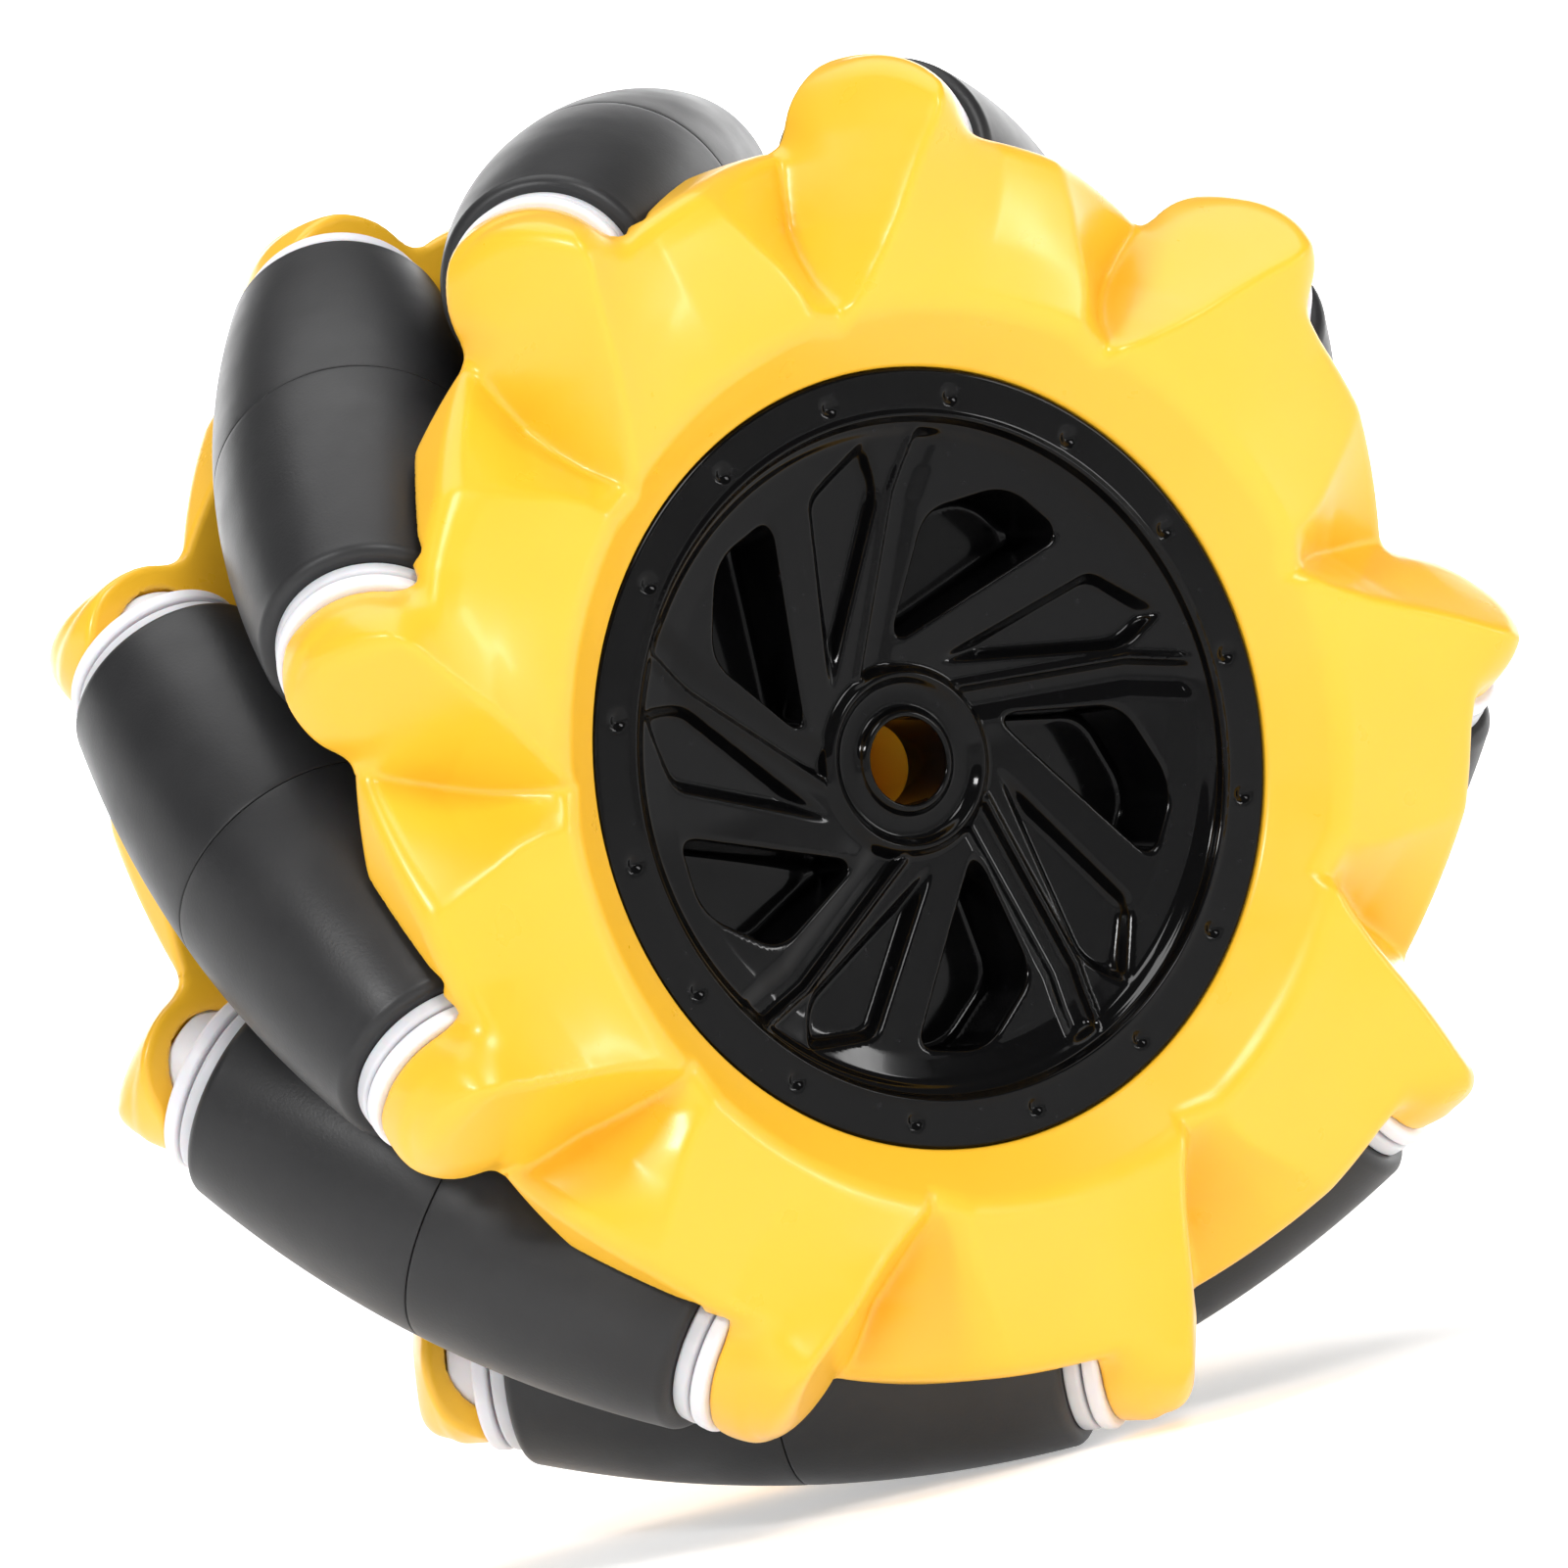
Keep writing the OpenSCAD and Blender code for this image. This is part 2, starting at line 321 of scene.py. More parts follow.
def true_normals(mesh, field, near=0.02, crisp=40, alike=0.6):
    """Shades the mesh with the field's own slope, except on faces that something else made."""
    smooth_below(mesh, crisp)
    count, corners = len(mesh.vertices), len(mesh.loops)
    points = np.zeros(count * 3)
    mesh.vertices.foreach_get("co", points)
    points = points.reshape(-1, 3) / MM
    slope = gradient(field, points)
    slope /= np.maximum(np.linalg.norm(slope, axis=1), 1e-6)[:, None]
    held = np.abs(field(*points.T)) < near
    vertex = np.zeros(corners, int)
    mesh.loops.foreach_get("vertex_index", vertex)
    flat = np.zeros(len(mesh.polygons) * 3)
    mesh.polygons.foreach_get("normal", flat)
    sizes = np.zeros(len(mesh.polygons), int)
    mesh.polygons.foreach_get("loop_total", sizes)
    flat = np.repeat(flat.reshape(-1, 3), sizes, axis=0)
    normals = np.zeros(corners * 3)
    mesh.corner_normals.foreach_get("vector", normals)
    normals = normals.reshape(-1, 3)
    own = held[vertex] & ((slope[vertex] * flat).sum(axis=1) > alike)
    normals[own] = slope[vertex][own]
    mesh.normals_split_custom_set(normals.tolist())


# ---- Plates ----

# A lobe is a nose about its roller's axis, joined to a crown that stands along the wheel's axle.
LOBE_R = 5.8
NOSE_OUT = 24.6
CROWN_X, CROWN_Y, CROWN_Z = 39.2, 16.7, 17.0
CROWN_R, CROWN_DRAFT = 5.4, 0.05
PLATE_R = 42.3
UNDER_Z = 13.8
OPENING_R = 26.6
RIM_Z = 19.0
BEVEL_SLOPE = 0.9
SEAT_R = 25.0
SEAT_Z = 16.6
DRUM_TOP_Z = 14.6
WEB_Z = {"front": 10.4, "rear": 17.4}
WEB_T = 2.6
DRUM_R, DRUM_IN_R = 28.4, 26.0
HUB_R = 10.5
POST_ORBIT, POST_R, POSTS = 18.0, 3.4, 6
SCREW_BORE_R, SCREW_HEAD_R, SCREW_SEAT_Z = 1.7, 3.2, 2.5
PLATE_SCREW_R, TIGHT, LOOSE = 1.5, 0.03, 0.1
PILOT_TOP, THROUGH = 7, 40
HEX_AF, HEX_DEPTH = 12.0, 8.0

SLEEVE_LEN = 19.5
FACE_S = 22.0
POCKET_S, HOLE_S = 24.35, 25.85
FLANGE_R = 6.5
BOSS_R = 4.4
PIN_R = 1.5
SLEEVE_BORE_R = 4.5
ROLLER_GAP, DISC_GAP = 0.7, 0.6
ROOM_START = 4
FAR_AWAY = 50
SECTOR_START = -8

# How softly the shapes of a plate blend, in millimetres.
CREASE_SOFT, FACE_SOFT, NOSE_SOFT, LOBE_SOFT = 0.3, 0.8, 0.8, 1.8
EDGE_SOFT, UNDER_SOFT, ROOM_SOFT, BORE_SOFT = 1.3, 0.6, 0.45, 0.25
PLATE_STEP = 0.36

# Four lines run outwards across each sector of a plate. Each has an angle from its roller's middle
# and a height, given at these radii.
LINE_R = (24, 31.2, 33, 35, 37, 40, 43, 50)
VALLEY = (
    (-5, -5, -5, -5.6, -6.5, -7.4, -8.6, -14.5),
    (22.6, 21.6, 19.2, 17.4, 16, 15.5, 15, 14.4),
)
SHOULDER = (
    (3, 0.2, 0, 1, 2.6, 4.6, 6.2, 9),
    (22.6, 22.6, 22.3, 22, 21.7, 21.2, 20.3, 18.6),
)
BROW = (
    (14, 14, 13.8, 13.6, 13.4, 13.2, 13, 14),
    (22.6, 22.6, 22.5, 22.4, 22.2, 21.9, 21.3, 19.6),
)
RIDGE = (
    (36, 33.6, 30.8, 28.4, 26.6, 24.4, 22.2, 18.6),
    (22.6, 22.7, 23, 23.4, 23.8, 24.1, 24.4, 24.2),
)


def plate_top(x, y):
    """The height of a plate's faceted front, with creases where the lines run."""
    radius = np.hypot(x, y)
    lines = [
        (np.interp(radius, LINE_R, angle), np.interp(radius, LINE_R, height))
        for angle, height in (VALLEY, SHOULDER, BROW, RIDGE)
    ]
    start = lines[0][0]
    turn = (np.degrees(np.arctan2(y, x)) - start) % PITCH + start
    lines.append((start + PITCH, lines[0][1]))
    top = np.zeros_like(radius)
    for (a, low), (b, high) in zip(lines, lines[1:]):
        share = np.clip((turn - a) / np.maximum(b - a, 0.1), 0, 1)
        top = np.where(turn >= a, low + (high - low) * share, top)
    return top


def tread(angle):
    """A point of the tread as (radius, place) along a roller, at an angle from its middle."""
    u = TREAD_R * math.sin(angle)
    v = TREAD_R * math.cos(angle)
    fall = ORBIT * math.tan(angle)
    return math.hypot((u - fall) / math.sqrt(2), v - ORBIT), (u + fall) / math.sqrt(2)


TREAD_END, TREAD_STEPS = 17.2, 28
TREAD = [tread(math.radians(TREAD_END) * k / TREAD_STEPS) for k in range(TREAD_STEPS + 1)]
TREAD_RADII, TREAD_PLACES = zip(*TREAD)
BARREL_R, END_R = TREAD_RADII[0], TREAD_RADII[-1]
PLATE_RELIEF = Relief(plate_top, 51, 0.125, CREASE_SOFT)


def plate_field(inner_r):
    """A plate's lobed ring, with room for the rollers and pockets for the bushes."""

    def field(x, y, z):
        radius = np.hypot(x, y)
        turn = (np.degrees(np.arctan2(y, x)) - SECTOR_START) % PITCH + SECTOR_START
        cone = (z - RIM_Z - BEVEL_SLOPE * (radius - OPENING_R)) / math.hypot(1, BEVEL_SLOPE)
        body = smooth_max(PLATE_RELIEF.above(x, y, z), cone, FACE_SOFT)
        outline = radius - PLATE_R
        rooms = np.full_like(radius, FAR_AWAY)
        for ahead in (0, PITCH):
            angle = np.radians(turn - ahead)
            out, sideways = radius * np.cos(angle), radius * np.sin(angle)
            along = (sideways + z) / math.sqrt(2)
            off = np.hypot(out - ORBIT, (z - sideways) / math.sqrt(2))
            nose = smooth_max(off - LOBE_R, along - NOSE_OUT, NOSE_SOFT)
            nose = np.maximum(nose, FACE_S - 2 - along)
            crown = np.hypot(out - CROWN_X, sideways - CROWN_Y)
            crown = crown - CROWN_R + CROWN_DRAFT * np.maximum(z - CROWN_Z, 0) ** 2
            outline = smooth_min(outline, smooth_min(nose, crown, NOSE_SOFT), LOBE_SOFT)
            barrel = off - ROLLER_GAP - np.interp(along, TREAD_PLACES, TREAD_RADII)
            barrel = smooth_max(barrel, along - SLEEVE_LEN - ROLLER_GAP, 0.4)
            disc = smooth_max(off - FLANGE_R - DISC_GAP, along - FACE_S, 0.3)
            pocket = np.maximum(off - BOSS_R - 0.05, along - POCKET_S)
            hole = np.maximum(off - PIN_R - 0.03, along - HOLE_S)
            for space in (barrel, disc, pocket, hole):
                rooms = np.minimum(rooms, np.maximum(space, ROOM_START - along))
        body = smooth_max(body, outline, EDGE_SOFT)
        body = smooth_max(body, UNDER_Z - z, UNDER_SOFT)
        body = smooth_max(body, -rooms, ROOM_SOFT)
        bore = np.minimum(np.maximum(radius - OPENING_R, SEAT_Z - z), radius - inner_r)
        return smooth_max(body, -bore, BORE_SOFT)

    return field


def post_spots():
    """Where the posts and their screws stand, round the hub."""
    turns = [math.radians((k + 0.5) * 360 / POSTS) for k in range(POSTS)]
    return [(POST_ORBIT * math.cos(t), POST_ORBIT * math.sin(t)) for t in turns]


def drum(side):
    """The wall, web and centre boss inside a plate's ring."""
    top = WEB_Z[side]
    under = top - WEB_T
    outline = [
        (SCREW_BORE_R, 0, 0.2), (HUB_R, 0, 0.3), (HUB_R, under, 0.8), (DRUM_IN_R, under, 0.8),
        (DRUM_IN_R, 0, 0.3), (DRUM_R, 0, 0.3), (DRUM_R, DRUM_TOP_Z, 0),
    ]
    if side == "front":
        outline += [
            (SEAT_R + 0.02, DRUM_TOP_Z, 0), (SEAT_R + 0.02, top, 0.6), (SCREW_HEAD_R, top, 0.2),
            (SCREW_HEAD_R, SCREW_SEAT_Z, 0), (SCREW_BORE_R, SCREW_SEAT_Z, 0.2),
        ]
    else:
        outline += [
            (OPENING_R + 1, DRUM_TOP_Z, 0), (OPENING_R + 1, top, 0), (HUB_R, top, 0.8),
            (HUB_R, RIM_Z, 0.5), (SCREW_BORE_R, RIM_Z, 0.2),
        ]
    return revolve("drum", rounded(outline), 180)


def plate(side):
    """One whole plate as a single closed shell."""
    field = plate_field(SEAT_R if side == "front" else OPENING_R)
    step = PLATE_STEP * COARSE
    columns = round(2 * math.pi * PLATE_R / step / ROLLERS) * ROLLERS
    radii, heights = np.arange(24.2, 50, step), np.arange(12.9, 26, step)
    ring = mould("plate_" + side, field, columns, radii, heights)
    post_top = WEB_Z[side] - WEB_T + 1
    posts = [prism("post", POST_R, 0.01, post_top, at=spot) for spot in post_spots()]
    slack, bore_top = (TIGHT, PILOT_TOP) if side == "front" else (LOOSE, THROUGH)
    bore_r = PLATE_SCREW_R + slack
    cuts = [prism("bore", bore_r, -1, bore_top, at=spot) for spot in post_spots()]
    if side == "rear":
        cuts.append(prism("hex", HEX_AF / 2 / math.cos(math.pi / 6), RIM_Z - HEX_DEPTH, THROUGH, 6))
    shell = combine(ring, "UNION", [drum(side), *posts])
    shell = combine(shell, "DIFFERENCE", cuts)
    true_normals(shell, field)
    return shell


# ---- Hub cap ----

CAP_R = 26.55
SPIGOT_R = SEAT_R - 0.05
CAP_FLOOR_Z = 11.4
CAP_BACK_Z = 10.6
CAP_BORE_R = 3.0
DISH_R = 23.0
ARMS = 5
DIMPLES, DIMPLE_ORBIT, DIMPLE_R, DIMPLE_DEPTH, DIMPLE_TURN = 16, 24.75, 0.62, 0.32, 0.45
CAP_STEP = 0.25

# The bead round the dish and the groove inside it, each as height, radius and width.
BEAD, GROOVE = (0.22, 23.35, 0.18), (-0.2, 22.95, 0.2)
POCKET_DEPTH = 1.15
RIB_HEIGHT, RIB_WIDTH, FOLD_DEPTH = 0.4, 0.55, 0.5
BOSS_EDGE = 6.6
BOSS = ((0, 15.9), (3.45, 15.9), (3.75, 15.3), (5.2, 15.3), (5.9, 16.1), (BOSS_EDGE, 15.4))


def polar(radius, degrees):
    """A point of the cap's face from its radius and angle."""
    turn = math.radians(degrees)
    return np.array([radius * math.cos(turn), radius * math.sin(turn)])


WINDOW = [polar(7.5, 70), polar(19.8, 22), polar(20.4, 38), polar(17.1, 56)]
POCKET = [polar(6.7, 46.8), polar(18.6, -5.4), polar(22.3, -1.9), polar(19.5, 13.2)]
CREASE = [polar(22.9, -12), polar(18.3, -6.8), polar(5.3, 35)]
DISH = (
    (0, 15.2), (6, 15.3), (9, 15.7), (14, 16.4), (20, 17.2), (22, 17.7),
    (DISH_R, 18.6), (23.1, RIM_Z), (30, RIM_Z),
)


def within(corners, x, y, soft):
    """Distance out of a convex outline with softened corners, its corners anticlockwise."""
    outside = None
    for here, there in zip(corners, corners[1:] + corners[:1]):
        along = (there - here) / np.linalg.norm(there - here)
        side = (x - here[0]) * along[1] - (y - here[1]) * along[0]
        outside = side if outside is None else smooth_max(outside, side, soft)
    return outside


def to_arm(x, y):
    """The point turned into each arm's own sector, one after another."""
    for k in range(ARMS):
        turn = math.radians(-k * 360 / ARMS)
        yield x * math.cos(turn) - y * math.sin(turn), x * math.sin(turn) + y * math.cos(turn)


def ease(value):
    """0 below 0, 1 above 1, and smooth between."""
    share = np.clip(value, 0, 1)
    return share * share * (3 - 2 * share)


def profile(radius, points):
    """The height at each radius, along a line of (radius, height) points."""
    return np.interp(radius, [p[0] for p in points], [p[1] for p in points])


def crease(u, v):
    """Distance from an arm's crease, and which side of it the point is on."""
    gap = side = None
    for start, end in zip(CREASE, CREASE[1:]):
        run = end - start
        share = np.clip(((u - start[0]) * run[0] + (v - start[1]) * run[1]) / (run @ run), 0, 1)
        here = np.hypot(u - start[0] - share * run[0], v - start[1] - share * run[1])
        turned = np.sign((u - start[0]) * run[1] - (v - start[1]) * run[0])
        side = turned if gap is None else np.where(here < gap, turned, side)
        gap = here if gap is None else np.minimum(gap, here)
    return gap, side


def cap_face(x, y):
    """The height of the cap's face: rim, bead, dish, arms, pockets, boss and dimples."""
    radius = np.hypot(x, y)
    face = profile(radius, DISH)
    for height, middle, width in (BEAD, GROOVE):
        face = face + height * np.exp(-((radius - middle) / width) ** 2)
    dish = 1 - ease((radius - 21.6) / 1.2)
    for u, v in to_arm(x, y):
        face = face - POCKET_DEPTH * ease(-within(POCKET, u, v, 0.8) / 0.9) * dish
        gap, side = crease(u, v)
        face = face + RIB_HEIGHT * (1 - ease(gap / RIB_WIDTH)) * dish
        fold = np.where(side < 0, FOLD_DEPTH, 0) * (1 - ease((gap - 1.2) / 1.6)) * ease(gap / 0.3)
        face = face - fold * dish
    face = np.where(radius < BOSS_EDGE, profile(radius, BOSS), face)
    each = 360 / DIMPLES
    turn = np.degrees(np.arctan2(y, x)) / each - DIMPLE_TURN
    turn = np.radians((turn + 0.5) % 1 - 0.5) * each
    dimple = np.hypot(radius * np.cos(turn) - DIMPLE_ORBIT, radius * np.sin(turn))
    return face - DIMPLE_DEPTH * np.maximum(1 - (dimple / DIMPLE_R) ** 2, 0)


CAP_RELIEF = Relief(cap_face, 28, 0.08, 0.13)


def cap_field(x, y, z):
    """The hub cap, with its arms, its deep windows and its bore."""
    radius = np.hypot(x, y)
    body = smooth_max(CAP_RELIEF.above(x, y, z), radius - CAP_R, 0.35)
    body = np.maximum(body, np.where(radius > SPIGOT_R, SEAT_Z, CAP_BACK_Z) - z)
    body = np.maximum(body, np.minimum(radius - SPIGOT_R, SEAT_Z - z))
    for u, v in to_arm(x, y):
        window = within(WINDOW, u, v, 1.6) + 0.05 * (RIM_Z - z)
        body = smooth_max(body, -smooth_max(window, CAP_FLOOR_Z - z, 0.5), 0.4)
    return smooth_max(body, CAP_BORE_R - radius, 0.2)


def hub_cap():
    """The glossy swirl in the middle of the front plate."""
    step = CAP_STEP * COARSE
    columns = round(2 * math.pi * CAP_R / step)
    radii, heights = np.arange(2.3, 27.4, step), np.arange(10.1, 19.8, step)
    mesh = mould("cap_swirl", cap_field, columns, radii, heights)
    true_normals(mesh, cap_field)
    return mesh


# ---- Rollers and fasteners ----

SEAM_HALF = 0.03
FLANGE_IN, FLANGE_OUT = 19.52, 20.67
BUSH_IN, BUSH_OUT = 20.87, 24.2
HEAD_R, HEAD_H = 2.75, 1.8
KEY_R, KEY_FLOOR = 1.15, 0.7
SCREW_REACH = 6.0


def sleeve():
    """One rubber sleeve: half of a roller's barrel, with a softened end."""
    skin = [(radius, place, 0) for radius, place in TREAD[1:]]
    ends = [(END_R - 0.12, SLEEVE_LEN, 0.85), (SLEEVE_BORE_R, SLEEVE_LEN, 0)]
    seam = [(SLEEVE_BORE_R, SEAM_HALF, 0), (BARREL_R - 0.01, SEAM_HALF, 0.12)]
    return revolve("sleeve", rounded(seam + skin + ends), 128)


def core():
    """A roller's nylon core: a tube with a flange at each end."""
    bore, tube = PIN_R + 0.05, SLEEVE_BORE_R - 0.02
    half = [
        (tube, FLANGE_IN, 0), (FLANGE_R, FLANGE_IN, 0.2),
        (FLANGE_R, FLANGE_OUT, 0.35), (bore, FLANGE_OUT, 0.15),
    ]
    other = [(radius, -place, fillet) for radius, place, fillet in reversed(half)]
    return revolve("core", rounded(half + other), 96)


def bush():
    """A nylon bush: a disc beside the roller and a boss that sits in the lobe."""
    corners = [
        (PIN_R + 0.01, BUSH_IN, 0), (FLANGE_R, BUSH_IN, 0.25), (FLANGE_R, FACE_S, 0.42),
        (BOSS_R, FACE_S, 0), (BOSS_R, BUSH_OUT, 0.3), (PIN_R + 0.01, BUSH_OUT, 0),
    ]
    return revolve("bush", rounded(corners), 96)


def plate_screws():
    """Six socket screws that hold the plates together, with their heads at the rear."""
    low, high = -SCREW_REACH, WEB_Z["rear"]
    corners = [
        (0.02, low, 0), (PLATE_SCREW_R, low, 0.3), (PLATE_SCREW_R, high, 0), (HEAD_R, high, 0.1),
        (HEAD_R, high + HEAD_H, 0.35), (0.02, high + HEAD_H, 0),
    ]
    socket = prism("socket", KEY_R / math.cos(math.pi / 6), high + KEY_FLOOR, high + 4, 6)
    screw = combine(revolve("screw", rounded(corners), 48), "DIFFERENCE", [socket])
    smooth_below(screw, 32)
    points = np.zeros(len(screw.vertices) * 3)
    screw.vertices.foreach_get("co", points)
    points = points.reshape(-1, 3) / MM
    faces = [list(face.vertices) for face in screw.polygons]
    every = np.concatenate([points + (x, y, 0) for x, y in post_spots()])
    joined = [[i + k * len(points) for i in face] for k in range(POSTS) for face in faces]
    mesh = new_mesh("plate_screw_set", every, joined)
    smooth_below(mesh, 32)
    return mesh


# ---- Materials ----


def shader(name, **constants):
    """A material, its node tree and its shader, with constant values on the shader's sockets."""
    material = bpy.data.materials.new(name)
    material.use_nodes = True
    surface = material.node_tree.nodes["Principled BSDF"]
    for socket, value in constants.items():
        surface.inputs[socket.replace("_", " ")].default_value = value
    return material, material.node_tree, surface


def noise(tree, scale, detail=3.0, roughness=0.5, stretch=(1, 1, 1)):
    """A noise over the piece, with its scale in waves per metre."""
    place = tree.nodes.new("ShaderNodeTexCoord")
    mapping = tree.nodes.new("ShaderNodeMapping")
    mapping.inputs["Scale"].default_value = stretch
    texture = tree.nodes.new("ShaderNodeTexNoise")
    texture.inputs["Scale"].default_value = scale
    texture.inputs["Detail"].default_value = detail
    texture.inputs["Roughness"].default_value = roughness
    tree.links.new(place.outputs["Object"], mapping.inputs["Vector"])
    tree.links.new(mapping.outputs["Vector"], texture.inputs["Vector"])
    return texture.outputs["Fac"]


def spread(tree, value, low, high, start=0.3, stop=0.7):
    """The value's middle range spread over low to high."""
    node = tree.nodes.new("ShaderNodeMapRange")
    node.inputs["From Min"].default_value = start
    node.inputs["From Max"].default_value = stop
    node.inputs["To Min"].default_value = low
    node.inputs["To Max"].default_value = high
    tree.links.new(value, node.inputs["Value"])
    return node.outputs["Result"]


def paint(tree, surface, value, first, second):
    """Colours the shader between two colours, by the value."""
    node = tree.nodes.new("ShaderNodeMix")
    node.data_type = "RGBA"
    node.inputs["A"].default_value = (*first, 1)
    node.inputs["B"].default_value = (*second, 1)
    tree.links.new(value, node.inputs["Factor"])
    tree.links.new(node.outputs["Result"], surface.inputs["Base Color"])


def roughen(tree, surface, value, low, high):
    """Gives the shader a roughness between two, by the value."""
    tree.links.new(spread(tree, value, low, high), surface.inputs["Roughness"])


def bump(tree, surface, layers):
    """Stacks bump layers of (value, strength, depth in millimetres) on the shader's normal."""
    before = None
    for value, strength, depth in layers:
        node = tree.nodes.new("ShaderNodeBump")
        node.inputs["Strength"].default_value = strength
        node.inputs["Distance"].default_value = depth * MM
        tree.links.new(value, node.inputs["Height"])
        if before:
            tree.links.new(before, node.inputs["Normal"])
        before = node.outputs["Normal"]
    tree.links.new(before, surface.inputs["Normal"])


def yellow_plastic():
    """Moulded plastic with a soft gloss, faint flow marks and a fine grain."""
    material, tree, surface = shader(
        "yellow_plastic", Specular_IOR_Level=0.5, Coat_Weight=0.12, Coat_Roughness=0.12
    )
    flow = spread(tree, noise(tree, 45, 4), 0, 1)
    paint(tree, surface, flow, (0.93, 0.50, 0.024), (0.96, 0.535, 0.032))
    roughen(tree, surface, noise(tree, 260, 5), 0.27, 0.37)
    bump(tree, surface, [(noise(tree, 120, 2), 0.25, 0.05), (noise(tree, 3600, 2), 0.12, 0.012)])
    return material


def black_gloss():
    """Polished black plastic with slightly wavy reflections and a little dust."""
    material, tree, surface = shader(
        "black_gloss", Specular_IOR_Level=0.12, Coat_Weight=0.06, Coat_Roughness=0.03
    )
    dust = spread(tree, noise(tree, 1500, 3), 0, 1, 0.66, 0.8)
    paint(tree, surface, dust, (0.0018, 0.0018, 0.002), (0.007, 0.007, 0.008))
    roughen(tree, surface, noise(tree, 300, 4), 0.06, 0.13)
    bump(tree, surface, [(noise(tree, 160, 1), 0.3, 0.035), (noise(tree, 2600, 2), 0.05, 0.01)])
    return material


def rubber():
    """Matt rubber with a fine grain, handling marks and pale dust."""
    material, tree, surface = shader("rubber", Specular_IOR_Level=0.42)
    dust = spread(tree, noise(tree, 70, 6, 0.65), 0, 1, 0.45, 0.75)
    paint(tree, surface, dust, (0.015, 0.015, 0.016), (0.022, 0.022, 0.023))
    roughen(tree, surface, noise(tree, 190, 5), 0.36, 0.46)
    bump(tree, surface, [(noise(tree, 4200, 3), 0.35, 0.03), (noise(tree, 500, 3), 0.15, 0.03)])
    return material


def nylon(name, first, second):
    """White nylon, slightly milky, with faint turning marks."""
    material, tree, surface = shader(
        name, Specular_IOR_Level=0.45, Subsurface_Weight=0.25, Subsurface_Scale=0.0012
    )
    cloud = spread(tree, noise(tree, 220, 3), 0, 1)
    paint(tree, surface, cloud, first, second)
    roughen(tree, surface, noise(tree, 900, 3), 0.36, 0.5)
    bump(tree, surface, [(noise(tree, 1500, 2), 0.15, 0.02)])
    return material


def steel(name, streak):
    """Bright steel with fine drawn or turned marks along one direction."""
    material, tree, surface = shader(name, Metallic=1.0)
    mark = noise(tree, 2500, 3, stretch=streak)
    paint(tree, surface, mark, (0.5, 0.5, 0.52), (0.68, 0.68, 0.7))
    roughen(tree, surface, mark, 0.22, 0.38)
    bump(tree, surface, [(mark, 0.2, 0.01)])
    return material


# ---- The wheel ----


def place(name, mesh, matrix, material, body, slot, node):
    """Puts one piece in the scene, riding on its body and standing for its CAD node."""
    mesh = mesh.copy()
    mesh.name = name
    mesh.transform(matrix)
    mesh.materials.clear()
    mesh.materials.append(material)
    piece = bpy.data.objects.new(name, mesh)
    bpy.context.scene.collection.objects.link(piece)
    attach(piece, body)
    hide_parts(node)


def build_wheel():
    """Every piece of the wheel, and the material of the axle pins, which keep their CAD shape."""
    yellow, white = yellow_plastic(), nylon("nylon_bush", (0.80, 0.79, 0.83), (0.86, 0.85, 0.88))
    # The cores are the same white nylon as the bushes, painted a darker grey here as painted shade
    # on their flanges.
    nylon_in_painted_shade = nylon("nylon_core_painted_shade", (0.62, 0.62, 0.65), (0.70, 0.70, 0.73))
    for side in SIDES:
        shell, node = plate(side), side + "_plate"
        place("plate_" + side, shell, TURNED[side], yellow, "root", "plate_yellow", node)
    place("cap_swirl", hub_cap(), FRONT, black_gloss(), "root", "cap_black", "hub_cap")
    bright = steel("screw_steel", (1, 1, 0.1))
    place(
        "plate_screw_set", plate_screws(), TURNED["rear"], bright, "root", "screw_steel",
        "plate_screws",
    )
    tyre, soft, centre, disc = sleeve(), rubber(), core(), bush()
    pin = steel("axle_steel", (0.1, 1, 1))
    for number in range(1, ROLLERS + 1):
        body = f"roller_{number}"
        spot, node = on_roller("front", number), f"roller_core_{number}"
        place(f"core_{number}", centre, spot, nylon_in_painted_shade, body, "core_white", node)
        for side in SIDES:
            spot, node = on_roller(side, number), f"{side}_sleeve_{number}"
            place(f"sleeve_{side}_{number}", tyre, spot, soft, body, "sleeve_rubber", node)
            node = f"{side}_bush_{number}"
            place(f"bush_{side}_{number}", disc, spot, white, "root", "bush_white", node)
        axle = frame["nodes"][f"roller_axle_{number}"].data
        axle.materials.clear()
        axle.materials.append(pin)


# ---- Stage, light and camera ----

FLOOR_Z = -TREAD_R * MM
SWEEP_R, SWEEP_H, SWEEP_BEND, SWEEP_T = 2600, 900, 500, 20
VIEW_AZIMUTH, VIEW_ELEVATION, VIEW_ROLL = -30.87, 3.0, 13.0
VIEW_DISTANCE = 1.5
VIEW_LENS = 502.7
AIM_RIGHT, AIM_UP = -0.00039, -0.00044


def plain_material(name, colour, glow):
    """A pale stage surface, faintly mottled, with a soft glow of its own."""
    material, tree, surface = shader(
        name, Roughness=0.9, Emission_Color=(1, 1, 1, 1), Emission_Strength=glow
    )
    mottle = spread(tree, noise(tree, 3, 2), 0, 1)
    pale = tuple(0.99 * c for c in colour)
    paint(tree, surface, mottle, pale, colour)
    return material


def build_stage():
    """A wide round floor that the wheel stands on, curving up into a low wall far away."""
    corners = [
        (1, 0, 0), (SWEEP_R, 0, SWEEP_BEND), (SWEEP_R, SWEEP_H, 0),
        (SWEEP_R + SWEEP_T, SWEEP_H, 0), (SWEEP_R + SWEEP_T, -SWEEP_T, 0), (1, -SWEEP_T, 0),
    ]
    floor = bpy.data.objects.new("floor", revolve("floor", rounded(corners, 16), 128))
    floor.location = (0, 0, FLOOR_Z)
    floor.data.materials.append(plain_material("pale_floor", (0.88, 0.88, 0.88), 0.4))
    bpy.context.scene.collection.objects.link(floor)


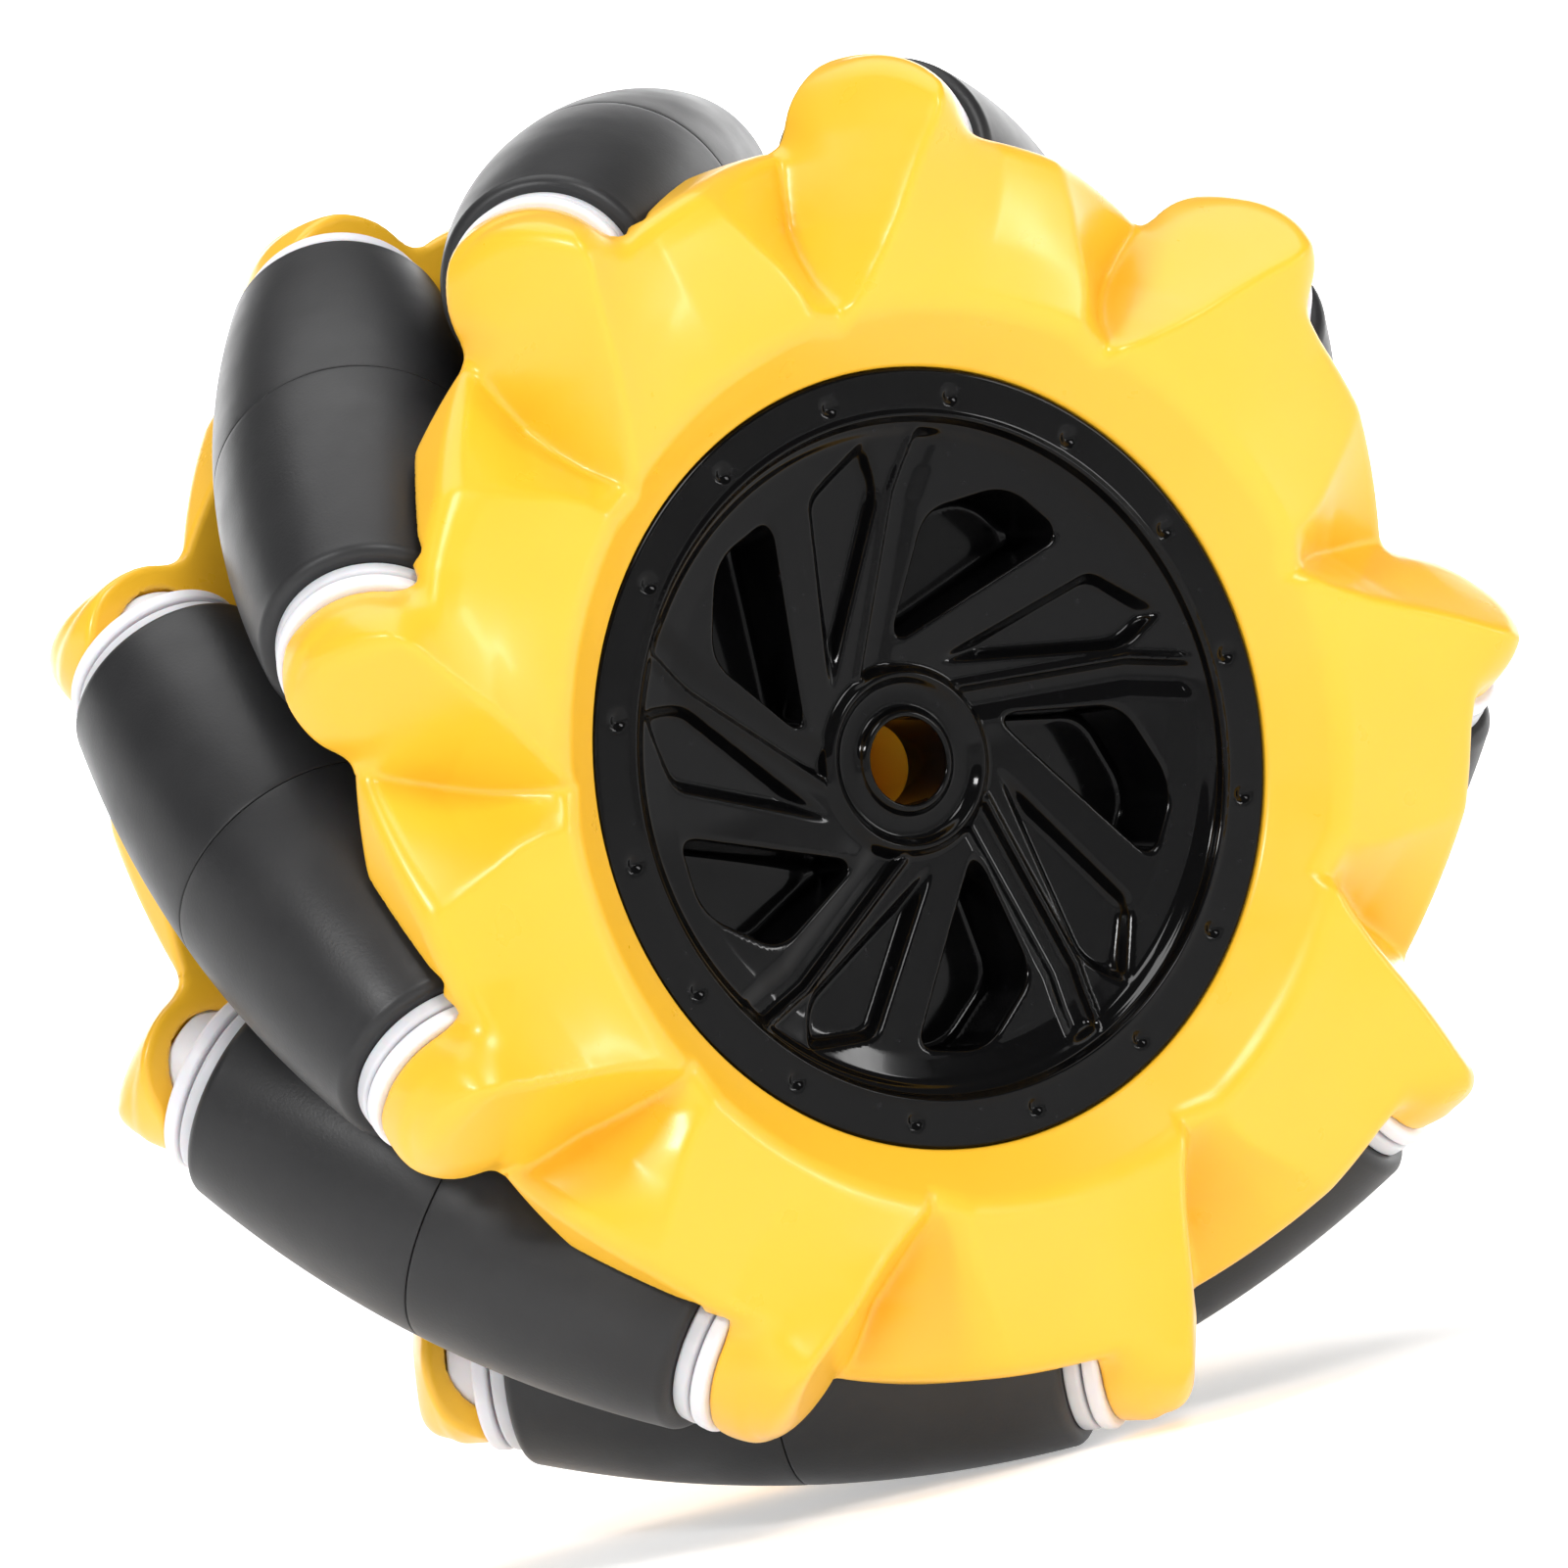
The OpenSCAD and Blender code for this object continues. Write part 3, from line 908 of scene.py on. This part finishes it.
def softbox(name, azimuth, elevation, distance, size, power, aim=(0, 0, 0)):
    """A soft light at that direction and distance, aimed at the wheel or elsewhere."""
    light = bpy.data.lights.new(name, "AREA")
    light.shape = "RECTANGLE"
    light.size, light.size_y = size
    light.energy = power
    lamp = bpy.data.objects.new(name, light)
    lamp.location = direction(azimuth, elevation) * distance
    lamp.rotation_euler = (lamp.location - Vector(aim)).to_track_quat("Z", "Y").to_euler()
    bpy.context.scene.collection.objects.link(lamp)


def direction(azimuth, elevation):
    """The unit vector towards a viewer at that azimuth and elevation."""
    a, e = math.radians(azimuth), math.radians(elevation)
    return Vector((math.sin(a) * math.cos(e), -math.cos(a) * math.cos(e), math.sin(e)))


def build_light():
    """A dim even surround and five softboxes, one of which lights only the far floor."""
    world = bpy.data.worlds.new("studio")
    world.use_nodes = True
    back = world.node_tree.nodes["Background"]
    back.inputs["Color"].default_value = (1, 1, 1, 1)
    back.inputs["Strength"].default_value = 0.2
    bpy.context.scene.world = world
    softbox("front_top", -5, 45, 1.0, (0.3, 0.3), 3.5)
    softbox("key", -65, 35, 1.0, (0.18, 0.1), 3.2)
    softbox("strip", 45, 12, 1.1, (0.07, 0.3), 1.3)
    softbox("top", 150, 80, 1.3, (1.2, 1.2), 9)
    far = direction(180 + VIEW_AZIMUTH, 0) * 2.3
    softbox("backdrop", 180 + VIEW_AZIMUTH, 38, 1.6, (1.0, 0.5), 60, aim=far)
    bpy.context.scene.view_settings.view_transform = "Standard"


def build_camera():
    """A long lens from the front left, rolled about its own axis."""
    back = direction(VIEW_AZIMUTH, VIEW_ELEVATION)
    right = Vector((0, 0, 1)).cross(back).normalized()
    up = back.cross(right)
    roll = math.radians(VIEW_ROLL)
    image_up = up * math.cos(roll) + right * math.sin(roll)
    image_right = right * math.cos(roll) - up * math.sin(roll)
    data = bpy.data.cameras.new("camera")
    data.lens = VIEW_LENS
    data.sensor_width = 36
    data.clip_start, data.clip_end = 0.1, 200
    camera = bpy.data.objects.new("camera", data)
    spot = back * VIEW_DISTANCE + image_right * AIM_RIGHT + image_up * AIM_UP
    turn = Matrix((image_right, image_up, back)).transposed().to_4x4()
    camera.matrix_world = Matrix.Translation(spot) @ turn
    bpy.context.scene.collection.objects.link(camera)
    bpy.context.scene.camera = camera


build_camera()
build_stage()
build_light()
build_wheel()
